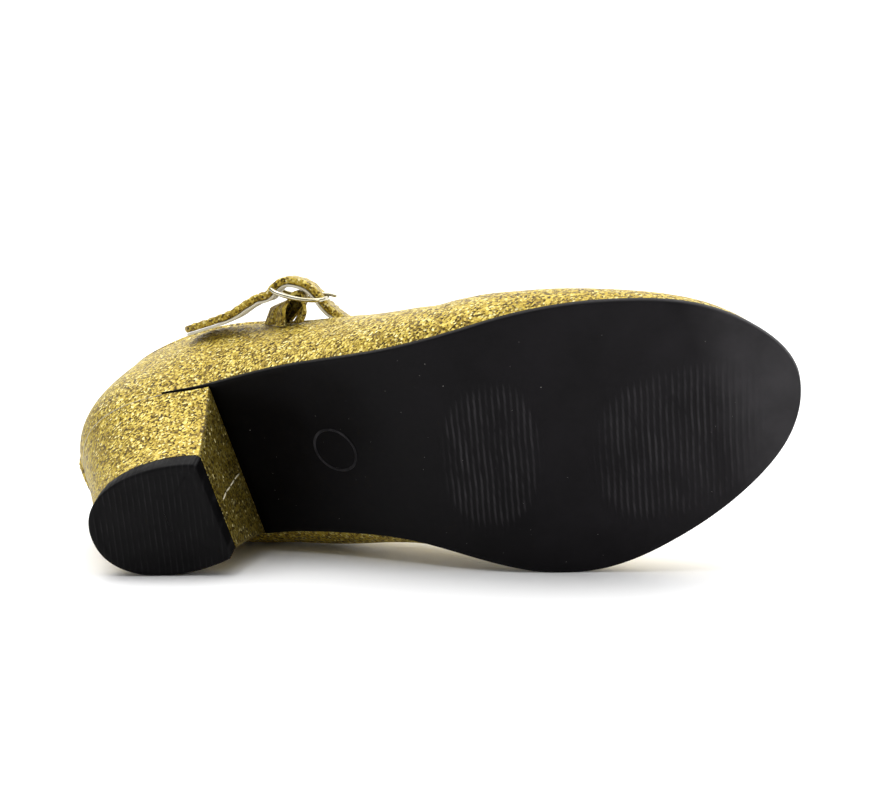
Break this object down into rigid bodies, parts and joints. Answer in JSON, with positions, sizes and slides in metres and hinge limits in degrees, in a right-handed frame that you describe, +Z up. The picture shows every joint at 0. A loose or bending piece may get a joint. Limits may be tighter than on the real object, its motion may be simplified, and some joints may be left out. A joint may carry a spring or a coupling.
{
  "type": "flamenco shoe",
  "caption": "Child's right flamenco shoe in gold glitter cloth with an instep strap, buckle, block heel and ribbed black sole, lying on its inner side.",
  "frame": {"origin": "centre of the bounding box's bottom face, on the floor under the lying shoe", "axes": "+X along the sole towards the toe, +Z up, the tread faces -Y and slightly down, the collar opens towards +Y"},
  "size_m": [0.1972, 0.0894, 0.0713],
  "materials": {
    "sole_rubber": "satin",
    "heel_rubber": "satin",
    "glitter_cloth": "glitter",
    "strap_cloth": "glitter outside, cream lining",
    "sock_lining": "matte",
    "buckle_metal": "polished"
  },
  "bodies": {
    "root": {"outsole": "sole_rubber", "heel_block": "glitter_cloth", "heel_top_piece": "heel_rubber", "upper": "glitter_cloth", "insole": "sock_lining", "strap": "strap_cloth", "buckle_chape": "glitter_cloth", "buckle_frame": "buckle_metal", "buckle_prong": "buckle_metal"}
  },
  "joints": []
}
